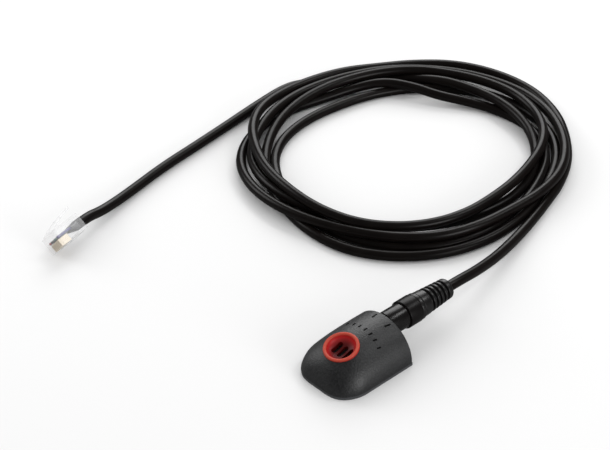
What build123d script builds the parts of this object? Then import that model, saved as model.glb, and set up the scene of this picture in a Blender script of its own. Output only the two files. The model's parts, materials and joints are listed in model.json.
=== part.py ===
"""Rack temperature and humidity sensor on a coiled lead that ends in a clear modular plug.

A domed pod carries a red vent cup in its sloping nose. Its lead leaves the back through a glossy
barrel, a collar and a ribbed strain relief, runs down to the bench, makes a loose coil and ends
in a six-way modular plug that lies on one corner.

Millimetres, +Z up. The nose of the pod points along -Y and its lead leaves along +Y. The origin
is on the bench, under the middle of the pod with its barrel and strain relief.
"""
import math
import os

from build123d import *

# Pod
POD_LENGTH = 30.8
POD_WIDTH = 25.9
POD_HEIGHT = 13.4
CROWN_POWER = 3.8
CROWN_OVERRUN = 0.05
NOSE_START_SHARE = 0.707
BOW_POWER = 1.39
CORNER_POWER = 3.99
SPRING_DROP = 0.13
ROOF_END_RISE = 0.1
FOOT_DEPTH = 1.5
STATION_COUNT = 13
LAST_STATION_ANGLE = 86.4
WALL = 1.6
REAR_WALL = 2.0
REAR_EDGE_RADIUS = 0.7

# Base plate and the lip that locates it in the pod
BASE_THICKNESS = 1.2
BASE_STEP = 0.15
LIP_THICKNESS = 0.9
LIP_HEIGHT = 1.6
FIT_CLEARANCE = 0.12

# Vent cup in the nose
CUP_STATION = 20.1
CUP_SINK = 0.6
CUP_RIM_RADIUS = 6.0
CUP_MOUTH_RADIUS = 4.9
CUP_BODY_RADIUS = 5.5
CUP_RIM_DEPTH = 0.8
CUP_RIM_RISE = 0.35
CUP_DEPTH_SHARE = 0.28
CUP_FLOOR = 0.9
CUP_CLEARANCE = 0.05
SLOT_COUNT = 3
SLOT_LENGTH = 4.8
SLOT_WIDTH = 1.6
SLOT_PITCH = 2.4
FILTER_MARGIN = 0.5
FILTER_THICKNESS = 0.3

# Circuit board
BOARD_WIDTH = 17.4
BOARD_LENGTH = 18.6
BOARD_THICKNESS = 1.0
BOARD_SETBACK = 3.4
BOARD_HEADROOM = 1.2
BOARD_CORNER = 1.5
POST_RADIUS = 1.5
POST_INSET = 2.2
PIN_RADIUS = 0.55
PIN_CLEARANCE = 0.1
PIN_RISE = 0.5
SENSING_CHIP = (2.6, 2.6, 1.0)
SENSING_WINDOW_RADIUS = 0.6
SENSING_WINDOW_DEPTH = 0.3
CONTROLLER_CHIP = (4.0, 4.0, 0.9)
CONTROLLER_INSET = 2.2
CONTROLLER_SHIFT = 1.2
SMALL_CHIP = (1.0, 0.6, 0.5)
SMALL_CHIP_PITCH = 1.7
SMALL_CHIP_INSET = 3.8
SMALL_CHIP_ROWS = 3

# Barrel, collar and ribbed strain relief behind the pod
AXIS_SHARE = 0.68
BARREL_DIAMETER = 8.8
BARREL_LENGTH = 7.5
SPIGOT_DIAMETER = 4.2
SPIGOT_CLEARANCE = 0.05
SNAP_RIM_DIAMETER = 5.0
SNAP_RIM_LENGTH = 0.9
COLLAR_DIAMETER = 9.9
COLLAR_LENGTH = 5.7
COLLAR_CHAMFER = 0.35
TENON_DIAMETER = 7.0
TENON_LENGTH = 3.0
FLANGE_LENGTH = 1.5
FLANGE_DIAMETER = 9.6
FLANGE_CHAMFER = 0.2
RELIEF_LENGTH = 14.3
RELIEF_START_DIAMETER = 9.2
RELIEF_END_DIAMETER = 7.2
RELIEF_PLAIN_LENGTH = 3.6
RELIEF_GROOVES = 5
RIB_SHARE = 0.52
GROOVE_DEPTH = 1.0
END_RING_LENGTH = 2.2

# Lead and its conductors
CABLE_DIAMETER = 3.8
WIRE_DIAMETER = 0.9
WIRE_COLOURS = ("blue", "green", "black", "red")
WIRE_PITCH = 1.12
PAD_RADIUS = 0.53
PAD_HEIGHT = 0.45
WIRE_DROP_RUN = 3.6
WIRE_BEND_RADIUS = 1.5

# Loose coil, as one closed ring of its outer shape: radii at even angles, from +X towards +Y
COIL_CENTRE = (-75.1, 87.6)
COIL_TURN = -4.0
COIL_OUTER_RADII = (61.8, 63.2, 64.5, 67.5, 69.0, 67.5, 67.2, 66.2, 65.6, 66.2, 68.0, 65.0)
COIL_INNER_RADII = (42.8, 44.6, 45.0, 42.3, 39.8, 38.6, 39.4, 43.0, 47.4, 49.6, 48.8, 45.4)
COIL_HEIGHT = 8.0
COIL_EDGE_RADIUS = 1.8
GROOVE_CLEARANCE = 0.1

# Modular plug, in its own frame: rear face at the origin, nose along -Y, latch along +Z
PLUG_WIDTH = 9.65
PLUG_LENGTH = 12.3
PLUG_HEIGHT = 6.6
PLUG_CORNER = (-116.9, -37.3)
PLUG_HEADING = 13.2
PLUG_ROLL = 51.4
PLUG_LIFT = 0.05
CONTACT_COUNT = 6
CONTACT_PITCH = 1.02
CONTACT_SLOT_WIDTH = 0.55
CONTACT_SLOT_LENGTH = 5.2
CONTACT_SLOT_HEIGHT = 3.0
BLADE_THICKNESS = 0.35
BLADE_LENGTH = 4.8
BLADE_HEIGHT = 2.8
BLADE_SETBACK = 0.2
BLADE_FOOT = 0.15
WIRE_SLOTS = (5, 3, 1, 0)
WIRE_ENDS = (0.9, 0.9, 0.5, 0.3)
WIRE_LEVEL = 0.4
DUCT_CLEARANCE = 0.1
JACKET_DEPTH = 4.6
JACKET_TIP_WIDTH = 6.6
JACKET_TIP_HEIGHT = 1.5
CHANNEL_CLEARANCE = 0.15
CLAMP_LENGTH = 2.8
CLAMP_WIDTH = 6.0
CLAMP_DEPTH = 0.9
CLAMP_SETBACK = 1.4
LATCH_WIDTH = 6.0
LATCH_TAB_WIDTH = 3.4
LATCH_THICKNESS = 0.9
LATCH_KNEE = (4.4, 1.8)
LATCH_SHOULDER = (7.4, 2.7)
LATCH_TIP = (13.8, 3.9)
LATCH_ROOT_LENGTH = 1.3

# Derived places
TAIL_LENGTH = BARREL_LENGTH + COLLAR_LENGTH + FLANGE_LENGTH + RELIEF_LENGTH
NOSE_Y = -(POD_LENGTH + TAIL_LENGTH) / 2
BACK_Y = NOSE_Y + POD_LENGTH
BARREL_END_Y = BACK_Y + BARREL_LENGTH
COLLAR_END_Y = BARREL_END_Y + COLLAR_LENGTH
RELIEF_START_Y = COLLAR_END_Y + FLANGE_LENGTH
RELIEF_END_Y = RELIEF_START_Y + RELIEF_LENGTH
AXIS_HEIGHT = AXIS_SHARE * POD_HEIGHT
CABLE_RADIUS = CABLE_DIAMETER / 2
CUP_DEPTH = CUP_DEPTH_SHARE * POD_HEIGHT
BOWL_DEPTH = CUP_DEPTH - CUP_FLOOR
FILTER_RADIUS = CUP_BODY_RADIUS - FILTER_MARGIN
BOARD_BACK_Y = BACK_Y - BOARD_SETBACK
BOARD_MIDDLE_Y = BOARD_BACK_Y - BOARD_LENGTH / 2
SPIGOT_END_Y = BACK_Y - REAR_WALL - FIT_CLEARANCE - SNAP_RIM_LENGTH

# Route of the lead from the strain relief down to the coil, and from the coil to the plug
SENSOR_ROUTE = (
    (0.0, RELIEF_END_Y, AXIS_HEIGHT),
    (0.0, RELIEF_END_Y + 5.7, AXIS_HEIGHT),
    (-1.2, 46.4, 7.2),
    (-4.2, 59.9, 4.5),
    (-8.2, 74.4, 2.6),
    (-12.6, 89.4, 2.0),
    (-17.4, 103.9, 2.0),
)
PLUG_ROUTE = (
    (-140.0, 83.9, 2.0),
    (-138.0, 67.9, 2.0),
    (-134.6, 47.9, 2.0),
    (-131.8, 29.9, 2.0),
    (-129.3, 12.4, 2.0),
    (-125.7, -3.6, 2.0),
    (-122.9, -15.1, 2.4),
    (-120.5, -24.1, 3.6),
)
PLUG_APPROACH = 6.5


def half_width(station, inset=0.0):
    """Half the pod's width at a distance from its back: straight flanks, then the bowed nose."""
    nose_start = NOSE_START_SHARE * POD_LENGTH
    share = max(0.0, station - nose_start) / (POD_LENGTH - inset - nose_start)
    return (POD_WIDTH / 2 - inset) * (1 - share**BOW_POWER) ** (1 / CORNER_POWER)


def crown_height(station, inset=0.0):
    """Height of the pod's top line at a distance from its back."""
    reach = POD_LENGTH + CROWN_OVERRUN - inset
    return (POD_HEIGHT - inset) * math.sqrt(1 - (station / reach) ** CROWN_POWER)


def roof_end(inset=0.0):
    """Distance from the back at which the roof has come down to just above where it springs."""
    lowest = BASE_THICKNESS - SPRING_DROP + ROOF_END_RISE
    reach = POD_LENGTH + CROWN_OVERRUN - inset
    return reach * (1 - (lowest / (POD_HEIGHT - inset)) ** 2) ** (1 / CROWN_POWER)


def arch_section(station, inset=0.0):
    """Cross-section of the pod: upright foot, and an elliptical roof from just under the parting line."""
    half = half_width(station, inset)
    crown = crown_height(station, inset)
    flank = BASE_THICKNESS - SPRING_DROP
    outline = [
        Line((-half, -FOOT_DEPTH), (half, -FOOT_DEPTH)),
        Line((half, -FOOT_DEPTH), (half, flank)),
        EllipticalCenterArc((0, flank), half, crown - flank, start_angle=0, arc_size=180),
        Line((-half, flank), (-half, -FOOT_DEPTH)),
    ]
    return Plane.XZ.offset(station - BACK_Y) * make_face(outline)


def pod_form(inset=0.0, start=0.0):
    """Domed form of the pod, lofted through its arches from a distance behind the back to the nose."""
    step = math.radians(LAST_STATION_ANGLE) / (STATION_COUNT - 1)
    shares = [math.sin(step * index) for index in range(STATION_COUNT)]
    length = min(POD_LENGTH - inset - start, (roof_end(inset) - start) / shares[-1])
    return loft([arch_section(start + share * length, inset) for share in shares])


def slab(low, high):
    """Wide slab between two heights, to cut the pod's form to length."""
    reach = 4 * POD_LENGTH
    return Pos(0, 0, (low + high) / 2) * Box(reach, reach, high - low)


def cylinder_along_y(diameter, start, end, height=AXIS_HEIGHT):
    """Cylinder along Y between two places at the height of the lead's exit."""
    return Pos(0, (start + end) / 2, height) * Rot(90, 0, 0) * Cylinder(diameter / 2, end - start)


def cup_tilt():
    """Angle of the pod's crown at the vent cup, in radians."""
    low = crown_height(CUP_STATION + CUP_RIM_RADIUS / 2)
    high = crown_height(CUP_STATION - CUP_RIM_RADIUS / 2)
    return math.atan((high - low) / CUP_RIM_RADIUS)


def cup_place():
    """Frame of the vent cup: centre of its rim plane, tipped to the slope of the pod's crown."""
    height = crown_height(CUP_STATION) - CUP_SINK
    return Location((0, BACK_Y - CUP_STATION, height), (math.degrees(cup_tilt()), 0, 0))


def board_top():
    """Height of the board's upper face, a headroom under the membrane's lowest point."""
    cup_height = crown_height(CUP_STATION) - CUP_SINK
    sunk = (CUP_DEPTH + FILTER_THICKNESS) * math.cos(cup_tilt())
    tipped = FILTER_RADIUS * math.sin(cup_tilt())
    return cup_height - sunk - tipped - BOARD_HEADROOM


def board_bottom():
    """Height of the board's lower face."""
    return board_top() - BOARD_THICKNESS


def housing_shell():
    """Moulded cover of the pod, open underneath, with a seat for the cup and a bore for the lead."""
    shell = pod_form() & slab(BASE_THICKNESS, 2 * POD_HEIGHT)
    back_edges = shell.faces().sort_by(Axis.Y)[-1].edges().sort_by(Axis.Z)
    shell = fillet(back_edges[1:], REAR_EDGE_RADIUS)
    shell -= pod_form(WALL, REAR_WALL)
    seat = Pos(0, 0, POD_HEIGHT / 2 - CUP_RIM_DEPTH) * Cylinder(CUP_RIM_RADIUS + CUP_CLEARANCE, POD_HEIGHT)
    bore = Cylinder(CUP_BODY_RADIUS + CUP_CLEARANCE, 2 * CUP_DEPTH)
    shell -= cup_place() * (seat + bore)
    bore_diameter = SPIGOT_DIAMETER + 2 * SPIGOT_CLEARANCE
    return shell - cylinder_along_y(bore_diameter, BACK_Y - 2 * REAR_WALL, BACK_Y + REAR_WALL)


def base_plate():
    """Flat base of the pod with a locating lip and four posts that carry the board."""
    plate = pod_form(BASE_STEP) & slab(0, BASE_THICKNESS)
    outside = pod_form(WALL + FIT_CLEARANCE, REAR_WALL + FIT_CLEARANCE)
    inside = pod_form(WALL + FIT_CLEARANCE + LIP_THICKNESS, REAR_WALL + FIT_CLEARANCE + LIP_THICKNESS)
    plate += (outside - inside) & slab(BASE_THICKNESS, BASE_THICKNESS + LIP_HEIGHT)
    post_height = board_bottom() - BASE_THICKNESS
    pin_height = BOARD_THICKNESS + PIN_RISE
    for x, y in post_places():
        plate += Pos(x, y, BASE_THICKNESS + post_height / 2) * Cylinder(POST_RADIUS, post_height)
        plate += Pos(x, y, board_bottom() + pin_height / 2) * Cylinder(PIN_RADIUS, pin_height)
    return plate


def post_places():
    """The four places where posts hold the board."""
    x = BOARD_WIDTH / 2 - POST_INSET
    y = BOARD_LENGTH / 2 - POST_INSET
    return [(sx * x, BOARD_MIDDLE_Y + sy * y) for sx in (-1, 1) for sy in (-1, 1)]


def vent_cup():
    """Red cup with a rounded rim, a bowl and three slots through its floor."""
    rim_middle = (CUP_RIM_RADIUS + CUP_MOUTH_RADIUS) / 2
    profile = [
        Line((0, -CUP_DEPTH), (CUP_BODY_RADIUS, -CUP_DEPTH)),
        Line((CUP_BODY_RADIUS, -CUP_DEPTH), (CUP_BODY_RADIUS, -CUP_RIM_DEPTH)),
        Line((CUP_BODY_RADIUS, -CUP_RIM_DEPTH), (CUP_RIM_RADIUS, -CUP_RIM_DEPTH)),
        Line((CUP_RIM_RADIUS, -CUP_RIM_DEPTH), (CUP_RIM_RADIUS, 0)),
        ThreePointArc((CUP_RIM_RADIUS, 0), (rim_middle, CUP_RIM_RISE), (CUP_MOUTH_RADIUS, 0)),
        EllipticalCenterArc((0, 0), CUP_MOUTH_RADIUS, BOWL_DEPTH, start_angle=270, arc_size=90),
        Line((0, -BOWL_DEPTH), (0, -CUP_DEPTH)),
    ]
    cup = revolve(Plane.XZ * make_face(profile), Axis.Z)
    slot = SlotOverall(SLOT_LENGTH, SLOT_WIDTH, rotation=90)
    for index in range(SLOT_COUNT):
        x = (index - (SLOT_COUNT - 1) / 2) * SLOT_PITCH
        cup -= extrude(Pos(x, 0, -CUP_DEPTH - CUP_CLEARANCE) * slot, CUP_DEPTH)
    return cup_place() * cup


def filter_disc():
    """Thin membrane under the cup's floor."""
    disc = Cylinder(FILTER_RADIUS, FILTER_THICKNESS)
    return cup_place() * Pos(0, 0, -CUP_DEPTH - FILTER_THICKNESS / 2) * disc


def circuit_board():
    """Board with rounded corners and holes for the four pins."""
    outline = Pos(0, BOARD_MIDDLE_Y) * RectangleRounded(BOARD_WIDTH, BOARD_LENGTH, BOARD_CORNER)
    board = extrude(Plane.XY.offset(board_bottom()) * outline, BOARD_THICKNESS)
    for x, y in post_places():
        board -= Pos(x, y, board_top()) * Cylinder(PIN_RADIUS + PIN_CLEARANCE, 4 * BOARD_THICKNESS)
    return board


def on_board(size, x, y):
    """Block of a size that stands on the board at a place."""
    return Pos(x, y, board_top() + size[2] / 2) * Box(*size)


def sensing_chip():
    """Sensing element under the cup, with its small round window."""
    y = BACK_Y - CUP_STATION + CUP_DEPTH / 2
    chip = on_board(SENSING_CHIP, 0, y)
    top = board_top() + SENSING_CHIP[2]
    return chip - Pos(0, y, top) * Cylinder(SENSING_WINDOW_RADIUS, 2 * SENSING_WINDOW_DEPTH)


def controller_chip():
    """Flat square chip beside the conductors."""
    x = -BOARD_WIDTH / 2 + CONTROLLER_INSET + CONTROLLER_CHIP[0] / 2
    return on_board(CONTROLLER_CHIP, x, BOARD_MIDDLE_Y + CONTROLLER_SHIFT)


def small_chips():
    """Group of small two-ended chips in a column."""
    x = BOARD_WIDTH / 2 - SMALL_CHIP_INSET - SMALL_CHIP[0] / 2
    start = BOARD_MIDDLE_Y - (SMALL_CHIP_ROWS - 1) / 2 * SMALL_CHIP_PITCH
    places = [start + row * SMALL_CHIP_PITCH for row in range(SMALL_CHIP_ROWS)]
    return Compound([on_board(SMALL_CHIP, x, y) for y in places])


def wire_offset(index):
    """Place of one of the four conductors across their row."""
    return (index - (len(WIRE_COLOURS) - 1) / 2) * WIRE_PITCH


def solder_joints():
    """Four short solder cones where the conductors meet the board."""
    y = SPIGOT_END_Y - WIRE_DROP_RUN
    cone = Pos(0, 0, PAD_HEIGHT / 2) * Cone(PAD_RADIUS, WIRE_DIAMETER / 2, PAD_HEIGHT)
    return Compound([Pos(wire_offset(i), y, board_top()) * cone for i in range(len(WIRE_COLOURS))])


def board_wire(index):
    """Conductor from the barrel's inner end down to its solder joint."""
    x = wire_offset(index)
    y = SPIGOT_END_Y - WIRE_DROP_RUN
    corners = [(x, SPIGOT_END_Y, AXIS_HEIGHT), (x, y, AXIS_HEIGHT), (x, y, board_top() + PAD_HEIGHT)]
    return tube(FilletPolyline(*corners, radius=WIRE_BEND_RADIUS), WIRE_DIAMETER)


def cable_barrel():
    """Glossy barrel with a spigot that snaps through the pod's back wall and a tenon for the collar."""
    barrel = cylinder_along_y(BARREL_DIAMETER, BACK_Y, BARREL_END_Y)
    barrel = chamfer(barrel.edges().group_by(Axis.Y)[-1], COLLAR_CHAMFER)
    barrel += cylinder_along_y(SPIGOT_DIAMETER, SPIGOT_END_Y, BACK_Y)
    rim = cylinder_along_y(SNAP_RIM_DIAMETER, SPIGOT_END_Y, SPIGOT_END_Y + SNAP_RIM_LENGTH)
    barrel += chamfer(rim.edges().group_by(Axis.Y)[0], COLLAR_CHAMFER)
    return barrel + cylinder_along_y(TENON_DIAMETER, BARREL_END_Y, BARREL_END_Y + TENON_LENGTH)


def barrel_collar():
    """Satin collar pressed over the barrel's tenon."""
    collar = cylinder_along_y(COLLAR_DIAMETER, BARREL_END_Y, COLLAR_END_Y)
    collar = chamfer(collar.edges(), COLLAR_CHAMFER)
    return collar - cylinder_along_y(TENON_DIAMETER, BARREL_END_Y, BARREL_END_Y + TENON_LENGTH)


def strain_relief():
    """Tapered relief: a flange, a plain stretch, grooves with ribs between them, and an end ring."""
    relief = Cone(RELIEF_START_DIAMETER / 2, RELIEF_END_DIAMETER / 2, RELIEF_LENGTH)
    relief = Pos(0, 0, RELIEF_LENGTH / 2) * relief
    for low, high in groove_spans():
        radius = relief_radius((low + high) / 2)
        ring = Cylinder(2 * radius, high - low) - Cylinder(radius - GROOVE_DEPTH, high - low)
        relief -= Pos(0, 0, (low + high) / 2) * ring
    relief = Pos(0, RELIEF_START_Y, AXIS_HEIGHT) * Rot(-90, 0, 0) * relief
    flange = cylinder_along_y(FLANGE_DIAMETER, COLLAR_END_Y, RELIEF_START_Y)
    return relief + chamfer(flange.edges(), FLANGE_CHAMFER)


def groove_spans():
    """Start and end of each groove, measured from the flange of the strain relief."""
    grooved = RELIEF_LENGTH - RELIEF_PLAIN_LENGTH - END_RING_LENGTH
    groove = grooved / (RELIEF_GROOVES + (RELIEF_GROOVES - 1) * RIB_SHARE / (1 - RIB_SHARE))
    pitch = groove / (1 - RIB_SHARE)
    starts = [RELIEF_PLAIN_LENGTH + index * pitch for index in range(RELIEF_GROOVES)]
    return [(start, start + groove) for start in starts]


def relief_radius(distance):
    """Radius of the strain relief's taper at a distance from its flange."""
    share = distance / RELIEF_LENGTH
    return (RELIEF_START_DIAMETER * (1 - share) + RELIEF_END_DIAMETER * share) / 2


def tube(path, diameter):
    """Round solid along a path."""
    return sweep(Plane(path @ 0, z_dir=path % 0) * Circle(diameter / 2), path=path)


def bend_radii(points):
    """Arc radius at each inner point of a route, as large as its two runs allow."""
    radii = []
    for before, point, after in zip(points, points[1:], points[2:]):
        arriving = Vector(*point) - Vector(*before)
        leaving = Vector(*after) - Vector(*point)
        half_turn = math.radians(arriving.get_angle(leaving)) / 2
        radii.append(0.45 * min(arriving.length, leaving.length) / math.tan(half_turn))
    return radii


def lead_path(points):
    """Centre line of the lead: straight runs joined by tangent arcs."""
    return FilletPolyline(*points, radius=bend_radii(points))


def cable_run(points, name):
    """Tube of the lead along a route, with its radii, length and volume printed."""
    path = lead_path(points)
    run = tube(path, CABLE_DIAMETER)
    share = run.volume / (math.pi * CABLE_RADIUS**2 * path.length)
    print(name, "radii", [round(r, 1) for r in bend_radii(points)], "length", round(path.length, 1))
    print(name, "volume over section times length", round(share, 5))
    return run


def coil_outline(radii):
    """Closed smooth outline round the coil's middle through radii at even angles."""
    step = 2 * math.pi / len(radii)
    points = [(r * math.cos(i * step), r * math.sin(i * step)) for i, r in enumerate(radii)]
    return Pos(*COIL_CENTRE) * Rot(0, 0, COIL_TURN) * make_face(Spline(*points, periodic=True))


def cable_coil():
    """Outer shape of the loose coil as one ring, with a groove for each end of the lead."""
    ring = extrude(coil_outline(COIL_OUTER_RADII) - coil_outline(COIL_INNER_RADII), COIL_HEIGHT)
    ring = fillet(ring.edges(), COIL_EDGE_RADIUS)
    for route in (SENSOR_ROUTE, plug_route()):
        ring -= tube(lead_path(route), CABLE_DIAMETER + 2 * GROOVE_CLEARANCE)
    return ring


def plug_route():
    """Route of the lead from the coil to the plug's rear face, which it meets square."""
    entry = plug_place().origin
    approach = entry + plug_axes()[0] * PLUG_APPROACH
    return (*PLUG_ROUTE, tuple(approach), tuple(entry))


def plug_axes():
    """Unit vectors of the plug: rearwards, towards the latch and across, from its heading and roll."""
    heading = math.radians(PLUG_HEADING)
    roll = math.radians(PLUG_ROLL)
    rear = Vector(-math.sin(heading), math.cos(heading), 0)
    level = Vector(-math.cos(heading), -math.sin(heading), 0)
    latch = Vector(0, 0, math.cos(roll)) + level * math.sin(roll)
    return rear, latch, rear.cross(latch)


def plug_place():
    """Frame of the plug, lifted until its lowest corner just clears the bench."""
    rear, latch, across = plug_axes()
    drop = abs(across.Z) * PLUG_WIDTH / 2 + abs(latch.Z) * PLUG_HEIGHT / 2
    origin = Vector(*PLUG_CORNER, drop + PLUG_LIFT)
    return Plane(origin, x_dir=across, z_dir=latch)


def plug_body():
    """Clear modular housing with its latch, contact slots, conductor ducts and jacket channel."""
    body = Pos(0, -PLUG_LENGTH / 2, 0) * Box(PLUG_WIDTH, PLUG_LENGTH, PLUG_HEIGHT)
    body += plug_latch()
    slot = Box(CONTACT_SLOT_WIDTH, CONTACT_SLOT_LENGTH, CONTACT_SLOT_HEIGHT)
    slot_y = -PLUG_LENGTH + CONTACT_SLOT_LENGTH / 2
    slot_z = (CONTACT_SLOT_HEIGHT - PLUG_HEIGHT) / 2
    for index in range(CONTACT_COUNT):
        body -= Pos(contact_offset(index), slot_y, slot_z) * slot
    for index, end in zip(WIRE_SLOTS, WIRE_ENDS):
        body -= plug_rod(contact_offset(index), WIRE_DIAMETER + 2 * DUCT_CLEARANCE, end - DUCT_CLEARANCE)
    body -= jacket_wedge(CHANNEL_CLEARANCE)
    clamp = Box(CLAMP_WIDTH, CLAMP_LENGTH, CLAMP_DEPTH)
    body -= Pos(0, -CLAMP_SETBACK - CLAMP_LENGTH / 2, -PLUG_HEIGHT / 2 + CLAMP_DEPTH / 2) * clamp
    return plug_place() * body


def contact_offset(index):
    """Place of a contact across the plug."""
    return (index - (CONTACT_COUNT - 1) / 2) * CONTACT_PITCH


def plug_latch():
    """Sprung lever: wide from its root to the shoulders, then a narrower finger tab."""
    top = PLUG_HEIGHT / 2
    front = -PLUG_LENGTH

    def strip(points, width):
        """Lever stretch of a width through (distance from the front, rise) points, one thickness deep."""
        upper = [(front + y, top + z) for y, z in points]
        lower = [(y, z - LATCH_THICKNESS) for y, z in reversed(upper)]
        return extrude(Plane.YZ * make_face(Polyline(*upper, *lower, close=True)), width / 2, both=True)

    root = [(0, LATCH_THICKNESS / 2), (LATCH_ROOT_LENGTH, LATCH_THICKNESS)]
    wide = strip([*root, LATCH_KNEE, LATCH_SHOULDER], LATCH_WIDTH)
    return wide + strip([LATCH_KNEE, LATCH_SHOULDER, LATCH_TIP], LATCH_TAB_WIDTH)


def plug_rod(x, diameter, front_gap):
    """Straight round rod in the plug from the jacket's tip to a distance from the front face."""
    start = -PLUG_LENGTH + front_gap
    end = -JACKET_DEPTH
    return Pos(x, (start + end) / 2, WIRE_LEVEL) * Rot(90, 0, 0) * Cylinder(diameter / 2, end - start)


def jacket_wedge(clearance=0.0):
    """End of the lead's jacket, squeezed from round to a flat tip inside the plug."""
    rear = Plane((0, 0, 0), x_dir=(1, 0, 0), z_dir=(0, -1, 0)) * Circle(CABLE_RADIUS + clearance)
    tip_plane = Plane((0, -JACKET_DEPTH, WIRE_LEVEL), x_dir=(1, 0, 0), z_dir=(0, -1, 0))
    tip = tip_plane * Ellipse(JACKET_TIP_WIDTH / 2 + clearance, JACKET_TIP_HEIGHT / 2 + clearance)
    return loft([rear, tip])


def plug_blades():
    """Gilt contact blades, one in each slot."""
    blade = Box(BLADE_THICKNESS, BLADE_LENGTH, BLADE_HEIGHT)
    y = -PLUG_LENGTH + BLADE_SETBACK + BLADE_LENGTH / 2
    z = -PLUG_HEIGHT / 2 + BLADE_FOOT + BLADE_HEIGHT / 2
    return plug_place() * Compound([Pos(contact_offset(i), y, z) * blade for i in range(CONTACT_COUNT)])


def nodes():
    """Every piece by name."""
    parts = {
        "housing_shell": housing_shell(),
        "base_plate": base_plate(),
        "vent_cup": vent_cup(),
        "filter_disc": filter_disc(),
        "circuit_board": circuit_board(),
        "sensing_chip": sensing_chip(),
        "controller_chip": controller_chip(),
        "small_chips": small_chips(),
        "solder_joints": solder_joints(),
        "cable_barrel": cable_barrel(),
        "barrel_collar": barrel_collar(),
        "strain_relief": strain_relief(),
        "cable_to_coil": cable_run(SENSOR_ROUTE, "cable_to_coil"),
        "cable_coil": cable_coil(),
        "cable_to_plug": cable_run(plug_route(), "cable_to_plug"),
        "plug_body": plug_body(),
        "plug_blades": plug_blades(),
        "jacket_end": plug_place() * jacket_wedge(),
    }
    for index, colour in enumerate(WIRE_COLOURS):
        parts[f"board_wire_{colour}"] = board_wire(index)
        rod = plug_rod(contact_offset(WIRE_SLOTS[index]), WIRE_DIAMETER, WIRE_ENDS[index])
        parts[f"plug_wire_{colour}"] = plug_place() * rod
    return parts


os.makedirs("parts", exist_ok=True)
for node, part in nodes().items():
    export_step(part, f"parts/{node}.step")
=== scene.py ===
"""Dresses the rack temperature sensor: domed pod, vent cup, coiled lead and clear modular plug."""
from __future__ import annotations

import json
import logging
import math
from dataclasses import dataclass, field
from typing import Sequence

import bmesh
import bpy
import numpy as np
from mathutils import Euler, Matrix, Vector

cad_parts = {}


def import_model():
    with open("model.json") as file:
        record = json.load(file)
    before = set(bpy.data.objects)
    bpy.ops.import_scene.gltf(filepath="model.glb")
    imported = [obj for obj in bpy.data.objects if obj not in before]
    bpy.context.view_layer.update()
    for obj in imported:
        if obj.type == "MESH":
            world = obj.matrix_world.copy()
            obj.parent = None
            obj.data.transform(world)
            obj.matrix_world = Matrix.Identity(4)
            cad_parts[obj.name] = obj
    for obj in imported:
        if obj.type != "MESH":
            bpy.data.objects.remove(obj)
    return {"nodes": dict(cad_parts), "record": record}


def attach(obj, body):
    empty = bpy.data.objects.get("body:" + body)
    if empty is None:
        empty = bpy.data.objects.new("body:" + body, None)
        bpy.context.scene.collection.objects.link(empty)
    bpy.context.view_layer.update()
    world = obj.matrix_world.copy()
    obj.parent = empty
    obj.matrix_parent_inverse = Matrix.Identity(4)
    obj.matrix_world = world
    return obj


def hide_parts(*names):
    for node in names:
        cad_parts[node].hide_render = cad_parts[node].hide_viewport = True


logging.basicConfig(level=logging.INFO, format="%(message)s")
LOG = logging.getLogger("sensor")
MM = 0.001
Point = tuple[float, float, float]
Colour = tuple[float, float, float]

# Numbers of the Mix node's colour sockets, which share their names with its other kinds
MIX_FACTOR, MIX_FIRST, MIX_SECOND, MIX_RESULT = 0, 6, 7, 2
MOTTLE_DETAIL = 4.0
GRAIN_DETAIL = 3.0


class Socket:
    """A node socket that can be used in arithmetic; every operator adds its Math node."""

    def __init__(self, shader: "Shader", output: bpy.types.NodeSocket) -> None:
        """Wraps an output socket.

        Args:
            shader: The shader graph that the socket belongs to.
            output: The Blender socket.
        """
        self.shader = shader
        self.output = output

    def _math(self, operation: str, other: "Value") -> "Socket":
        """Adds one Math node and returns its result."""
        return self.shader.node("Math", {"operation": operation}, {0: self, 1: other})

    def __add__(self, other: "Value") -> "Socket":
        """Sum."""
        return self._math("ADD", other)

    def __sub__(self, other: "Value") -> "Socket":
        """Difference."""
        return self._math("SUBTRACT", other)

    def __mul__(self, other: "Value") -> "Socket":
        """Product."""
        return self._math("MULTIPLY", other)

    __radd__ = __add__
    __rmul__ = __mul__


Value = Socket | float | Sequence[float]


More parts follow.
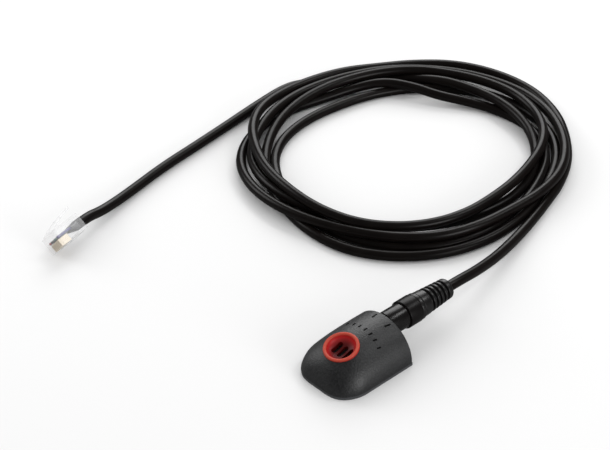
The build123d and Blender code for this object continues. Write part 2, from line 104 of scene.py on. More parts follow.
class Shader:
    """Builds one material's node graph."""

    def __init__(self, name: str) -> None:
        """Starts an empty graph.

        Args:
            name: The material's name.
        """
        self.material = bpy.data.materials.new(name)
        self.material.use_nodes = True
        self.tree = self.material.node_tree
        self.tree.nodes.clear()

    def node(
        self,
        kind: str,
        settings: dict[str, object] | None = None,
        inputs: dict[str | int, Value] | None = None,
        output: str | int = 0,
    ) -> Socket:
        """Adds a node, sets it up and fills its sockets.

        Args:
            kind: The node's type without the ShaderNode prefix.
            settings: Attributes such as a Math node's operation.
            inputs: Values or sockets by input name or number.
            output: Which output to return.

        Returns:
            The wanted output.
        """
        made = self.tree.nodes.new(f"ShaderNode{kind}")
        for key, value in (settings or {}).items():
            setattr(made, key, value)
        for key, value in (inputs or {}).items():
            if isinstance(value, Socket):
                self.tree.links.new(value.output, made.inputs[key])
            else:
                made.inputs[key].default_value = value
        return Socket(self, made.outputs[output])

    def place(self, scale: Point = (1.0, 1.0, 1.0)) -> Socket:
        """Object coordinates times a scale."""
        coordinates = self.node("TexCoord", output="Object")
        return self.node("Mapping", inputs={"Vector": coordinates, "Scale": scale})

    def noise(self, size: float, detail: float, stretch: Point = (1.0, 1.0, 1.0)) -> Socket:
        """Noise whose features have about a size in metres."""
        place = self.place(stretch)
        return self.node("TexNoise", inputs={"Vector": place, "Scale": 1.0 / size, "Detail": detail})

    def blend(self, factor: Value, first: Value, second: Value) -> Socket:
        """Colour between two colours by a factor."""
        inputs = {MIX_FACTOR: factor, MIX_FIRST: first, MIX_SECOND: second}
        return self.node("Mix", {"data_type": "RGBA"}, inputs, MIX_RESULT)

    def step(self, value: Socket, low: float, high: float) -> Socket:
        """Share from 0 to 1 that rises smoothly while a value goes from low to high."""
        inputs = {"Value": value, "From Min": low, "From Max": high}
        return self.node("MapRange", {"interpolation_type": "SMOOTHSTEP"}, inputs)

    def finish(self, inputs: dict[str | int, Value]) -> bpy.types.Material:
        """Ends the graph in a Principled shader.

        Args:
            inputs: The shader's values or sockets by input name.

        Returns:
            The material.
        """
        surface = self.node("BsdfPrincipled", inputs=inputs)
        end = self.tree.nodes.new("ShaderNodeOutputMaterial")
        self.tree.links.new(surface.output, end.inputs["Surface"])
        return self.material


def rgba(colour: Colour) -> tuple[float, float, float, float]:
    """Linear colour with full alpha."""
    return (*colour, 1.0)


def linked(name: str, data: bpy.types.ID) -> bpy.types.Object:
    """Makes an object and links it to the scene.

    Args:
        name: The object's name.
        data: Its mesh, curve, lamp or camera.

    Returns:
        The object.
    """
    made = bpy.data.objects.new(name, data)
    bpy.context.scene.collection.objects.link(made)
    return made


def facing(place: Sequence[float], aim: Sequence[float]) -> Euler:
    """Turn of a camera or a lamp at a place that looks at an aim."""
    return (Vector(aim) - Vector(place)).to_track_quat("-Z", "Y").to_euler()


@dataclass(frozen=True)
class Plastic:
    """A moulded plastic or rubber whose colour and roughness wander a little.

    Attributes:
        slot: The finish's name.
        colour: Full colour, linear.
        shade: The darker colour that it wanders to.
        roughness: Middle roughness.
        grain_size: Size of the grain, in metres.
        grain_depth: Depth of the grain, in metres.
        mottle_size: Size of the patches of colour, in metres.
        roughness_spread: How far the roughness wanders.
        specular: Strength of the reflections.
        speckle: How strongly the grain shows in the colour.
    """

    slot: str
    colour: Colour
    shade: Colour
    roughness: float
    grain_size: float = 0.0004
    grain_depth: float = 0.0
    mottle_size: float = 0.006
    roughness_spread: float = 0.08
    specular: float = 0.5
    speckle: float = 0.0

    def material(self) -> bpy.types.Material:
        """Builds the material.

        Returns:
            The material, with its graph.
        """
        shader = Shader(self.slot)
        mottle = shader.noise(self.mottle_size, MOTTLE_DETAIL)
        grain = shader.noise(self.grain_size, GRAIN_DETAIL)
        inputs: dict[str | int, Value] = {
            "Base Color": self.base_colour(shader, mottle + self.speckle * (grain - 0.5)),
            "Roughness": self.roughness + self.roughness_spread * (mottle + grain - 1.0),
            "Specular IOR Level": self.specular,
        }
        if self.grain_depth:
            relief = {"Strength": 1.0, "Distance": self.grain_depth, "Height": grain}
            inputs["Normal"] = shader.node("Bump", inputs=relief)
        return shader.finish(inputs)

    def base_colour(self, shader: Shader, mottle: Socket) -> Socket:
        """Colour that wanders between the shade and the full colour."""
        return shader.blend(mottle, rgba(self.shade), rgba(self.colour))


@dataclass(frozen=True)
class CupPlastic(Plastic):
    """The vent cup's red: painted shade darkens it down in the bowl; it is paler and warmer on the
    crest of the rim.

    Attributes:
        rim: Colour of the crest.
        painted_bowl_shade: Painted shade, the colour of the bowl's floor where shadow would lie.
        crest: The middle of the rim's crest, in millimetres.
        tilt: How far the cup leans towards the nose, in degrees.
        darkest_shade_height: Height from the crest at which the painted shade in the bowl is at its
            darkest, in millimetres.
        rim_low: Height from the crest at which the rim's colour starts, in millimetres.
        rim_high: Height from the crest at which it is full, in millimetres.
    """

    rim: Colour = (0.46, 0.06, 0.035)
    # Painted shade: near-black red for the bowl's floor
    painted_bowl_shade: Colour = (0.09, 0.003, 0.003)
    crest: Point = (0.0, -19.2, 11.3)
    tilt: float = 16.0
    darkest_shade_height: float = -2.5
    rim_low: float = -0.6
    rim_high: float = 0.35

    def base_colour(self, shader: Shader, mottle: Socket) -> Socket:
        """Red of the bowl, which changes with the height along the cup's axis: painted shade darkens
        it towards the floor.

        Args:
            shader: The graph to build in.
            mottle: Share of the full colour.

        Returns:
            The colour.
        """
        turn = math.radians(self.tilt)
        axis = (0.0, -math.sin(turn), math.cos(turn))
        along = shader.node(
            "VectorMath", {"operation": "DOT_PRODUCT"}, {0: shader.place(), 1: axis}, output="Value"
        )
        height = along - sum(part * place for part, place in zip(axis, self.crest)) * MM
        bowl = super().base_colour(shader, mottle)
        # Painted shade: the bowl's red fades to the dark shade colour towards its floor
        lit = shader.step(height, self.darkest_shade_height * MM, self.rim_low * MM)
        crest = shader.step(height, self.rim_low * MM, self.rim_high * MM)
        return shader.blend(crest, shader.blend(lit, rgba(self.painted_bowl_shade), bowl), rgba(self.rim))


@dataclass(frozen=True)
class Clear:
    """A clear moulded plastic, thin enough to show only as a pale haze with a sheen."""

    slot: str
    colour: Colour
    roughness: float
    haze: float
    cloud_size: float = 0.003

    def material(self) -> bpy.types.Material:
        """Builds the material.

        Returns:
            The material, with its graph.
        """
        shader = Shader(self.slot)
        cloud = shader.noise(self.cloud_size, GRAIN_DETAIL)
        return shader.finish(
            {
                "Base Color": rgba(self.colour),
                "Roughness": self.roughness,
                "Alpha": self.haze * (cloud + 0.5),
            }
        )


@dataclass(frozen=True)
class Metal:
    """A metal with fine scratches; a low metallic share keeps it pale where little reflects."""

    slot: str
    colour: Colour
    roughness: float
    metallic: float = 1.0
    scratch_size: float = 0.0003
    scratch_stretch: Point = (1.0, 1.0, 6.0)
    roughness_spread: float = 0.15

    def material(self) -> bpy.types.Material:
        """Builds the material.

        Returns:
            The material, with its graph.
        """
        shader = Shader(self.slot)
        scratch = shader.noise(self.scratch_size, GRAIN_DETAIL, self.scratch_stretch)
        return shader.finish(
            {
                "Base Color": rgba(self.colour),
                "Metallic": self.metallic,
                "Roughness": self.roughness + self.roughness_spread * (scratch - 0.5),
            }
        )


FINISHES = {
    finish.slot: finish
    for finish in (
        Plastic(
            "housing",
            (0.019, 0.0197, 0.0213),
            (0.005, 0.0054, 0.0062),
            0.48,
            grain_size=0.0005,
            grain_depth=0.00012,
            specular=0.85,
            speckle=3.0,
        ),
        Plastic(
            "base",
            (0.085, 0.088, 0.094),
            (0.05, 0.052, 0.056),
            0.42,
            grain_size=0.0005,
            grain_depth=0.0001,
            specular=0.8,
            speckle=2.0,
        ),
        Plastic("mark", (0.002, 0.002, 0.002), (0.001, 0.001, 0.001), 0.7, specular=0.1),
        CupPlastic("cup", (0.5, 0.018, 0.02), (0.4, 0.01, 0.012), 0.42, specular=0.25),
        # Near black, not the film's own white: painted shade in the vent slots above it
        Plastic("membrane", (0.012, 0.008, 0.008), (0.006, 0.004, 0.004), 0.9),
        Plastic("board", (0.02, 0.13, 0.06), (0.015, 0.1, 0.05), 0.35),
        Plastic("chip", (0.02, 0.02, 0.02), (0.015, 0.015, 0.015), 0.5),
        Metal("solder", (0.75, 0.75, 0.72), 0.3),
        Plastic("wire_blue", (0.05, 0.04, 0.24), (0.04, 0.03, 0.2), 0.35),
        Plastic("wire_green", (0.01, 0.16, 0.13), (0.01, 0.12, 0.1), 0.35),
        Plastic("wire_black", (0.015, 0.015, 0.015), (0.01, 0.01, 0.01), 0.35),
        Plastic("wire_red", (0.5, 0.03, 0.02), (0.4, 0.02, 0.02), 0.35),
        Plastic(
            "barrel",
            (0.006, 0.005, 0.005),
            (0.004, 0.003, 0.003),
            0.27,
            roughness_spread=0.02,
            specular=0.36,
        ),
        Plastic(
            "collar",
            (0.005, 0.004, 0.004),
            (0.003, 0.002, 0.002),
            0.36,
            roughness_spread=0.03,
            specular=0.22,
        ),
        Plastic("relief", (0.009, 0.008, 0.008), (0.006, 0.006, 0.006), 0.33),
        Plastic("jacket", (0.008, 0.006, 0.005), (0.003, 0.002, 0.002), 0.31, specular=0.2),
        Plastic("jacket_end", (0.022, 0.023, 0.026), (0.014, 0.0145, 0.016), 0.4),
        Clear("clear", (0.93, 0.935, 0.945), 0.12, haze=0.17),
        Metal("contact", (0.95, 0.83, 0.64), 0.4, metallic=0.2),
    )
}


class Materials:
    """The finishes' materials, each made once."""

    def __init__(self) -> None:
        """Starts with none made."""
        self.made: dict[str, bpy.types.Material] = {}

    def of(self, finish: str) -> bpy.types.Material:
        """The material of a finish.

        Args:
            finish: The finish's name.

        Returns:
            Its material.
        """
        if finish not in self.made:
            self.made[finish] = FINISHES[finish].material()
        return self.made[finish]


MATERIALS = Materials()


def settle_piece(
    mesh: bpy.types.Mesh,
    name: str,
    slot: str,
    replaces: str | None = None,
    wears: str | None = None,
) -> bpy.types.Object:
    """Links a finished mesh as a piece of the part, with its material.

    Args:
        mesh: The mesh, in place.
        name: The piece's name.
        slot: The record's material slot that it belongs to.
        replaces: The CAD node that it stands in for, where it does.
        wears: The finish, where it isn't the slot's own.

    Returns:
        The piece.
    """
    piece = linked(name, mesh)
    mesh.materials.clear()
    mesh.materials.append(MATERIALS.of(wears or slot))
    if replaces:
        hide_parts(replaces)
    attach(piece, "root")
    LOG.info("%s: %d faces", name, len(mesh.polygons))
    return piece


# The lead's exit axis: its height, places along it from the frame's origin and radii about it, in
# millimetres
EXIT_HEIGHT = 9.112
COLLAR_START = 8.4
NECK_END = 11.4
NECK_RADIUS = 3.5
RELIEF_START = 14.1
TAPER_START = 15.6
TAPER_RADIUS = 4.6
RELIEF_END = 29.9
END_RADIUS = 3.6


@dataclass(frozen=True)
class Corner:
    """A corner of a lathed profile: place along the axis, radius and rounding, in millimetres."""

    along: float
    radius: float
    rounding: float = 0.0


@dataclass(frozen=True)
class Grooves:
    """The strain relief's row of rounded grooves, in millimetres."""

    first: float = 19.2
    pitch: float = 1.9
    count: int = 5
    width: float = 0.9
    depth: float = 1.0
    slope: float = 0.09
    edge_rounding: float = 0.28
    floor_rounding: float = 0.15

    def corners(self) -> list[Corner]:
        """Corners of all the grooves.

        Returns:
            The corners, sunk into the taper, from the first groove to the last.
        """
        made: list[Corner] = []
        for index in range(self.count):
            start = self.first + index * self.pitch
            end = start + self.width
            for along, sunk, rounding in (
                (start, 0.0, self.edge_rounding),
                (start + self.slope, self.depth, self.floor_rounding),
                (end - self.slope, self.depth, self.floor_rounding),
                (end, 0.0, self.edge_rounding),
            ):
                made.append(Corner(along, self.taper(along) - sunk, rounding))
        return made

    @staticmethod
    def taper(along: float) -> float:
        """Radius of the strain relief's taper at a place along its axis."""
        share = (along - TAPER_START) / (RELIEF_END - TAPER_START)
        return TAPER_RADIUS + (END_RADIUS - TAPER_RADIUS) * share


@dataclass(frozen=True)
class Lathed:
    """A round piece about the lead's exit axis.

    Attributes:
        name: The piece's name.
        slot: Its material slot.
        replaces: The CAD node that it stands in for.
        corners: Its profile.
        segments: Steps of the full turn.
        arc_points: Points of each rounded corner.
        sharp_angle: Edges sharper than this stay sharp, in degrees.
        merge_distance: Points closer than this become one, in metres.
    """

    name: str
    slot: str
    replaces: str
    corners: tuple[Corner, ...]
    segments: int = 96
    arc_points: int = 5
    sharp_angle: float = 40.0
    merge_distance: float = 1e-6

    def outline(self) -> list[tuple[float, float]]:
        """Profile with its corners rounded.

        Returns:
            Its points, as (place along the axis, radius) pairs.
        """
        points: list[tuple[float, float]] = []
        for index, corner in enumerate(self.corners):
            middle = Vector((corner.along, corner.radius))
            if not corner.rounding:
                points.append(tuple(middle))
                continue
            start = self._towards(middle, self.corners[index - 1], corner.rounding)
            end = self._towards(middle, self.corners[index + 1], corner.rounding)
            for step in range(self.arc_points):
                t = step / (self.arc_points - 1)
                points.append(tuple(start * (1 - t) ** 2 + middle * 2 * t * (1 - t) + end * t**2))
        return points

    @staticmethod
    def _towards(middle: Vector, other: Corner, distance: float) -> Vector:
        """Point on the way from a corner to its neighbour, at most half way."""
        way = Vector((other.along, other.radius)) - middle
        return middle + way.normalized() * min(distance, way.length / 2)

    def build(self) -> bpy.types.Object:
        """Spins the profile and lets the piece stand in for its CAD node.

        Returns:
            The piece.
        """
        shape = bmesh.new()
        centre = Vector((0.0, 0.0, EXIT_HEIGHT)) * MM
        verts = [
            shape.verts.new((radius * MM, along * MM, centre.z)) for along, radius in self.outline()
        ]
        edges = [shape.edges.new(pair) for pair in zip(verts, verts[1:])]
        bmesh.ops.spin(
            shape,
            geom=[*verts, *edges],
            cent=centre,
            axis=(0.0, 1.0, 0.0),
            angle=math.tau,
            steps=self.segments,
            use_merge=True,
        )
        bmesh.ops.remove_doubles(shape, verts=shape.verts, dist=self.merge_distance)
        bmesh.ops.recalc_face_normals(shape, faces=shape.faces)
        mesh = bpy.data.meshes.new(self.name)
        shape.to_mesh(mesh)
        shape.free()
        mesh.shade_smooth()
        mesh.set_sharp_from_angle(angle=math.radians(self.sharp_angle))
        return settle_piece(mesh, self.name, self.slot, self.replaces)


EXIT_PIECES = (
    Lathed(
        "barrel",
        "barrel",
        "cable_barrel",
        (
            Corner(-2.12, 0.0),
            Corner(-2.12, 2.5, 0.3),
            Corner(-1.22, 2.5, 0.1),
            Corner(-1.22, 2.1, 0.1),
            Corner(0.9, 2.1),
            Corner(0.9, 4.4, 0.1),
            Corner(COLLAR_START, 4.4, 0.25),
            Corner(COLLAR_START, NECK_RADIUS),
            Corner(NECK_END, NECK_RADIUS, 0.1),
            Corner(NECK_END, 0.0),
        ),
    ),
    Lathed(
        "collar",
        "collar",
        "barrel_collar",
        (
            Corner(COLLAR_START, NECK_RADIUS),
            Corner(COLLAR_START, 4.95, 0.3),
            Corner(RELIEF_START, 4.95, 0.3),
            Corner(RELIEF_START, 0.0),
            Corner(NECK_END, 0.0),
            Corner(NECK_END, NECK_RADIUS),
            Corner(COLLAR_START, NECK_RADIUS),
        ),
    ),
    Lathed(
        "relief",
        "relief",
        "strain_relief",
        (
            Corner(RELIEF_START, 0.0),
            Corner(RELIEF_START, 4.8, 0.25),
            Corner(15.5, 4.8, 0.25),
            Corner(TAPER_START, 4.3, 0.1),
            Corner(15.75, 4.55, 0.15),
            *Grooves().corners(),
            Corner(RELIEF_END, END_RADIUS, 0.7),
            Corner(RELIEF_END, 0.0),
        ),
    ),
)


class Geometry:
    """Builds one Geometry Nodes tree and turns it into a plain mesh."""

    def __init__(self, name: str) -> None:
        """Starts an empty tree.

        Args:
            name: The tree's name.
        """
        self.tree = bpy.data.node_groups.new(name, "GeometryNodeTree")
        self.tree.interface.new_socket("Geometry", in_out="OUTPUT", socket_type="NodeSocketGeometry")
        self.start = self.tree.nodes.new("NodeGroupInput")
        self.values: dict[str, object] = {}

    def value(self, name: str, kind: str, value: object) -> bpy.types.NodeSocket:
        """Adds a named input with its value for the modifier.

        Args:
            name: The input's name.
            kind: Its socket type without the NodeSocket prefix.
            value: What the modifier sets it to.

        Returns:
            The socket inside the tree.
        """
        made = self.tree.interface.new_socket(name, in_out="INPUT", socket_type=f"NodeSocket{kind}")
        self.values[made.identifier] = value
        return self.start.outputs[name]

    def node(
        self,
        kind: str,
        settings: dict[str, object] | None = None,
        inputs: dict[str | int, object] | None = None,
        output: str | int = 0,
    ) -> bpy.types.NodeSocket:
        """Adds a node, sets it up and fills its sockets.

        Args:
            kind: The node's type.
            settings: Attributes such as a curve's mode.
            inputs: Values or sockets by input name or number.
            output: Which output to return.

        Returns:
            The wanted output.
        """
        made = self.tree.nodes.new(kind)
        for key, value in (settings or {}).items():
            setattr(made, key, value)
        for key, value in (inputs or {}).items():
            if isinstance(value, bpy.types.NodeSocket):
                self.tree.links.new(value, made.inputs[key])
            else:
                made.inputs[key].default_value = value
        return made.outputs[output]

    def mesh(self, name: str, geometry: bpy.types.NodeSocket) -> bpy.types.Mesh:
        """Runs the tree on an empty object and returns the plain mesh.

        Args:
            name: The mesh's name.
            geometry: The tree's result.

        Returns:
            The mesh, with no modifier left.
        """
        end = self.tree.nodes.new("NodeGroupOutput")
        self.tree.links.new(geometry, end.inputs["Geometry"])
        carrier = linked(name, bpy.data.meshes.new(f"{name}_carrier"))
        modifier = carrier.modifiers.new(name, "NODES")
        modifier.node_group = self.tree
        for identifier, value in self.values.items():
            modifier[identifier] = value
        view = bpy.context.evaluated_depsgraph_get()
        mesh = bpy.data.meshes.new_from_object(carrier.evaluated_get(view), depsgraph=view)
        bpy.data.objects.remove(carrier)
        mesh.name = name
        return mesh


@dataclass(frozen=True)
class Ticks:
    """A row of short marks on the housing's crown, along an arc about a point on its middle line.

    Attributes:
        name: The piece's name.
        count: How many marks there are.
        arc_centre: Place of the arc's centre along Y, in millimetres.
        arc_radius: Its radius, in millimetres.
        first: Angle of the first mark from the middle line, in degrees.
        last: Angle of the last one.
        width: Width of a mark, in millimetres.
        length: Its length.
        height: Its height, most of it inside the housing.
        proud: How far it stands out of the housing.
        ray_height: Height above the bench from which the marks are dropped.
    """

    name: str
    count: int
    arc_centre: float
    arc_radius: float
    first: float
    last: float
    width: float
    length: float
    height: float = 0.16
    proud: float = 0.05
    ray_height: float = 30.0

    def build(self, housing: bpy.types.Object) -> bpy.types.Object:
        """Lays the marks on the housing.

        Args:
            housing: The housing's CAD node.

        Returns:
            The piece.
        """
        tree = Geometry(self.name)
        points = self._points(tree, housing)
        turn = tree.node(
            "GeometryNodeInputNamedAttribute", {"data_type": "QUATERNION"}, {"Name": "turn"}
        )
        row = tree.node(
            "GeometryNodeInstanceOnPoints",
            inputs={"Points": points, "Instance": self._mark(tree), "Rotation": turn},
        )
        real = tree.node("GeometryNodeRealizeInstances", inputs={"Geometry": row})
        paint = tree.value("Material", "Material", MATERIALS.of("mark"))
        worn = tree.node("GeometryNodeSetMaterial", inputs={"Geometry": real, "Material": paint})
        return settle_piece(tree.mesh(self.name, worn), self.name, "housing", wears="mark")

    def _points(self, tree: Geometry, housing: bpy.types.Object) -> bpy.types.NodeSocket:
        """Drops the arc's points on the housing and keeps the turn of each mark.

        Args:
            tree: The tree to build in.
            housing: The housing's CAD node.

        Returns:
            The points, with their turn as an attribute.
        """
        centre = (0.0, self.arc_centre * MM, self.ray_height * MM)
        arc = tree.node(
            "GeometryNodeCurveArc",
            {"mode": "RADIUS"},
            {
                "Resolution": tree.value("Count", "Int", self.count),
                "Radius": tree.value("Radius", "Float", self.arc_radius * MM),
                "Start Angle": math.radians(90 - self.last),
                "Sweep Angle": math.radians(self.last - self.first),
            },
        )
        above = tree.node("GeometryNodeTransform", inputs={"Geometry": arc, "Translation": centre})
        skin = tree.node(
            "GeometryNodeObjectInfo",
            inputs={"Object": tree.value("Housing", "Object", housing)},
            output="Geometry",
        )
        hit = tree.node(
            "GeometryNodeRaycast",
            inputs={"Target Geometry": skin, "Ray Direction": (0.0, 0.0, -1.0)},
            output="Hit Position",
        )
        normal = hit.node.outputs["Hit Normal"]
        position = tree.node("GeometryNodeInputPosition")
        outward = tree.node(
            "ShaderNodeVectorMath", {"operation": "SUBTRACT"}, {0: position, 1: centre}
        )
        upright = tree.node("FunctionNodeAlignRotationToVector", {"axis": "Z"}, {"Vector": normal})
        turned = tree.node(
            "FunctionNodeAlignRotationToVector",
            {"axis": "Y", "pivot_axis": "Z"},
            {"Rotation": upright, "Vector": outward},
        )
        kept = tree.node(
            "GeometryNodeStoreNamedAttribute",
            {"data_type": "QUATERNION", "domain": "POINT"},
            {"Geometry": above, "Name": "turn", "Value": turned},
        )
        return tree.node("GeometryNodeSetPosition", inputs={"Geometry": kept, "Position": hit})

    def _mark(self, tree: Geometry) -> bpy.types.NodeSocket:
        """Makes one mark, which stands a little out of the housing.

        Args:
            tree: The tree to build in.

        Returns:
            The mark, about its place on the housing.
        """
        size = (self.width * MM, self.length * MM, self.height * MM)
        block = tree.node("GeometryNodeMeshCube", inputs={"Size": size})
        shift = (0.0, 0.0, (self.proud - self.height / 2) * MM)
        return tree.node("GeometryNodeTransform", inputs={"Geometry": block, "Translation": shift})


MARKS = (
    Ticks(
        "scale_ticks",
        count=7,
        arc_centre=-39.0,
        arc_radius=30.0,
        first=-13.0,
        last=15.5,
        width=0.55,
        length=1.5,
    ),
    Ticks(
        "index_ticks",
        count=2,
        arc_centre=-32.0,
        arc_radius=30.2,
        first=-4.6,
        last=7.1,
        width=0.6,
        length=2.4,
    ),
)


@dataclass(frozen=True)
class Settling:
    """How the turns of the coil come to rest on each other, in millimetres and shares.

    Attributes:
        steps: Steps from start to rest.
        rounds: Times that stretches are pushed apart in each step.
        spacing: Wanted distance from centre line to centre line.
        floor: Height of the centre line on the bench.
        fall: How far the turns sink in the first step; it shrinks evenly to nothing.
        last_fall: How far they sink in every step besides.
        homing: Share of its shift in plan that a point takes back in a step.
        stiffness: Share by which a point evens out with its neighbours.
        push: How strongly close stretches are pushed apart.
        lift: How strongly a stretch is lifted onto the bench.
        own_stretch: Samples nearer than this along the line aren't pushed apart.
        watch: Pairs this much further apart than the spacing are watched.
        watch_every: Steps from one search for pairs to the next.
    """

    steps: int = 240
    rounds: int = 4
    spacing: float = 3.86
    floor: float = 1.95
    fall: float = 0.35
    last_fall: float = 0.01
    homing: float = 0.03
    stiffness: float = 0.15
    push: float = 1.3
    lift: float = 1.5
    own_stretch: float = 12.0
    watch: float = 6.0
    watch_every: int = 8


@dataclass
class Lead:
    """The lead: down from the strain relief, round the loose coil and on to the plug.

    The coil's turns are given as radii at even angles about its middle, from the sensor's end
    on. Each has a level that says what it lies over. The turns start apart, one level above
    another, and then sink until they rest on each other and on the bench.

    Attributes:
        diameter: The lead's diameter. All its sizes are in millimetres.
        sensor_route: Control points from the strain relief to the coil.
        plug_route: Control points from the coil to the plug.
        middle: The coil's middle in plan.
        first_angle: Angle of the first radius, in degrees.
        angle_step: Angle from one radius to the next, in degrees.
        per_step: Control points for each radius.
        turns: The radii, one row for each turn.
        levels: One digit for each radius: its level, where 0 lies on the bench.
        level_height: Height from level to level at the start.
        samples: Samples of each span of the curve while it settles.
        ring_resolution: Fineness of the tube's round section.
        run_resolution: Steps of the tube for each span of the curve.
        settling: How the turns come to rest.
        home: The control points before they settle.
        free: Which of them may move, as a column of ones and zeros.
        weights: Weights of the control points at each sample of the curve.
        points: The control points at rest.
    """

    diameter: float = 3.8
    sensor_route: tuple[Point, ...] = (
        (0.0, RELIEF_END, EXIT_HEIGHT),
        (0.0, 35.6, EXIT_HEIGHT),
        (-1.2, 46.4, 7.2),
        (-4.2, 59.9, 4.5),
        (-8.2, 74.4, 2.6),
        (-12.6, 89.4, 2.0),
        (-17.4, 103.9, 2.0),
    )
    plug_route: tuple[Point, ...] = (
        (-140.0, 83.9, 2.0),
        (-138.0, 67.9, 2.0),
        (-134.6, 47.9, 2.0),
        (-131.8, 29.9, 2.0),
        (-129.3, 12.4, 2.0),
        (-125.7, -3.6, 2.0),
        (-122.9, -15.1, 2.4),
        (-120.5, -24.1, 3.6),
        (-118.38, -30.97, 5.88),
        (-116.9, -37.3, 5.88),
    )
    middle: tuple[float, float] = (-75.1, 87.6)
    first_angle: float = 26.0
    angle_step: float = 30.0
    per_step: int = 2
    turns: tuple[tuple[float, ...], ...] = (
        (58.6, 61.2, 67.2, 65.0, 54.0, 54.0, 59.0, 57.5, 57.6, 59.0, 53.6, 46.8),
        (47.2, 53.2, 56.0, 53.0, 51.0, 49.5, 51.0, 52.0, 58.0, 66.8, 64.5, 56.8),
        (56.0, 57.5, 55.0, 49.5, 43.5, 41.2, 45.8, 53.5, 56.5, 61.5, 63.0, 58.5),
        (52.0, 51.5, 45.5, 38.5, 44.5, 47.0, 56.0, 63.0, 62.7, 61.0, 61.3, 57.0),
        (60.2, 61.0, 62.0, 58.5, 54.0, 55.0, 57.2, 60.0, 58.0, 54.0, 50.0, 49.0),
        (51.0, 50.8, 48.0, 47.5, 53.0, 62.2),
    )
    levels: tuple[str, ...] = (
        "000059999999",
        "999994000001",
        "222211111111",
        "222222255566",
        "666643444444",
        "555330",
    )
    level_height: float = 2.85
    samples: int = 5
    ring_resolution: int = 4
    run_resolution: int = 10
    settling: Settling = Settling()
    home: np.ndarray = field(init=False)
    free: np.ndarray = field(init=False)
    weights: np.ndarray = field(init=False)
    points: np.ndarray = field(init=False)

    def __post_init__(self) -> None:
        """Gathers the control points and settles the coil."""
        coil = self._coil()
        self.home = np.array([*self.sensor_route, *coil, *self.plug_route])
        free = [0.0] * len(self.sensor_route) + [1.0] * len(coil) + [0.0] * len(self.plug_route)
        self.free = np.array(free)[:, None]
        self.weights = self._weights(len(self.home))
        self.points = self._settled()

    def _coil(self) -> list[Point]:
        """Works out the turns from their radii and levels.

        Returns:
            Their control points, each at the height of its level.
        """
        radii = np.concatenate(self.turns)
        levels = np.array([int(level) for level in "".join(self.levels)], float)
        step = math.radians(self.angle_step / self.per_step)
        # The curve cuts its corners, so the control points lie a little further out than it does
        outward = 1.0 / (0.75 + 0.25 * math.cos(step))
        points: list[Point] = []
        for index in range((len(radii) - 1) * self.per_step + 1):
            place = index / self.per_step
            radius = outward * self._between(radii, place)
            level = float(np.interp(place, np.arange(len(levels)), levels))
            turn = math.radians(self.first_angle) + index * step
            x = self.middle[0] + radius * math.cos(turn)
            y = self.middle[1] + radius * math.sin(turn)
            points.append((x, y, self.settling.floor + self.level_height * level))
        return points

    @staticmethod
    def _between(values: np.ndarray, place: float) -> float:
        """Value at a place in a list, on a smooth line through its entries.

        Args:
            values: The entries.
            place: Where, counted in entries from the first.

        Returns:
            The value.
        """
        last = len(values) - 1
        start = min(int(place), last)
        before, first, second, after = (
            values[min(max(start + shift, 0), last)] for shift in (-1, 0, 1, 2)
        )
        t = place - start
        bend = 2 * before - 5 * first + 4 * second - after
        twist = 3 * first - before - 3 * second + after
        return float(first + 0.5 * ((second - before) * t + bend * t**2 + twist * t**3))

    def _weights(self, count: int) -> np.ndarray:
        """Weights of the control points at even samples of the smooth curve.

        Args:
            count: How many control points there are.

        Returns:
            One row for each sample, one column for each control point.
        """
        rows: list[np.ndarray] = []
        for index in range(1, count - 1):
            for t in (np.arange(self.samples) + 0.5) / self.samples:
                row = np.zeros(count)
                row[index - 1 : index + 2] = ((1 - t) ** 2 / 2, 0.5 + t * (1 - t), t**2 / 2)
                rows.append(row)
        return np.array(rows)

    def _settled(self) -> np.ndarray:
        """Lets the turns sink until they rest on each other.

        Returns:
            The control points at rest.
        """
        rule = self.settling
        points = self.home.copy()
        for step in range(rule.steps):
            share = step / rule.steps
            points[:, 2:] -= (rule.fall * (1 - share) + rule.last_fall) * self.free
            self._stiffen(points)
            if step % rule.watch_every == 0:
                pairs = self._neighbours(self.weights @ points)
            for _ in range(rule.rounds):
                self._part(points, pairs)
                low = np.clip(rule.floor - (self.weights @ points)[:, 2:], 0, None)
                points[:, 2:] += rule.lift * self._spread(low)
        return points

    def _stiffen(self, points: np.ndarray) -> None:
        """Draws the points towards their plan places and evens out their heights and shifts.

        Args:
            points: The control points, which it moves.
        """
        rule = self.settling
        points[:, :2] += rule.homing * (self.home - points)[:, :2] * self.free
        for _ in range(2):
            shift = points.copy()
            shift[:, :2] -= self.home[:, :2]
            even = (shift[:-2] + shift[2:]) / 2
            points[1:-1] += rule.stiffness * (even - shift[1:-1]) * self.free[1:-1]

    def _neighbours(self, line: np.ndarray) -> tuple[np.ndarray, np.ndarray]:
        """Pairs of samples that lie near each other on different stretches of the line.

        Args:
            line: The samples.

        Returns:
            The numbers of the first and of the second sample of each pair.
        """
        rule = self.settling
        spacing = np.linalg.norm(np.diff(line, axis=0), axis=1).mean()
        own = int(rule.own_stretch / spacing) + 1
        gap = np.linalg.norm(line[:, None] - line[None], axis=2)
        first, second = np.nonzero(np.triu(gap < rule.spacing + rule.watch, own))
        return first, second

    def _part(self, points: np.ndarray, pairs: tuple[np.ndarray, np.ndarray]) -> None:
        """Pushes apart the stretches that are closer than the lead is thick.

        Args:
            points: The control points, which it moves.
            pairs: The pairs of samples to look at.
        """
        rule = self.settling
        line = self.weights @ points
        apart = line[pairs[0]] - line[pairs[1]]
        gap = np.linalg.norm(apart, axis=1)
        near = (gap < rule.spacing) & (gap > 0)
        push = apart[near] * ((rule.spacing - gap[near]) / gap[near] / 2)[:, None]
        moves = np.zeros_like(line)
        count = np.zeros(len(line))
        for side, sign in zip(pairs, (1.0, -1.0)):
            np.add.at(moves, side[near], sign * push)
            np.add.at(count, side[near], 1.0)
        points += rule.push * self._spread(moves / np.sqrt(np.maximum(count, 1))[:, None])

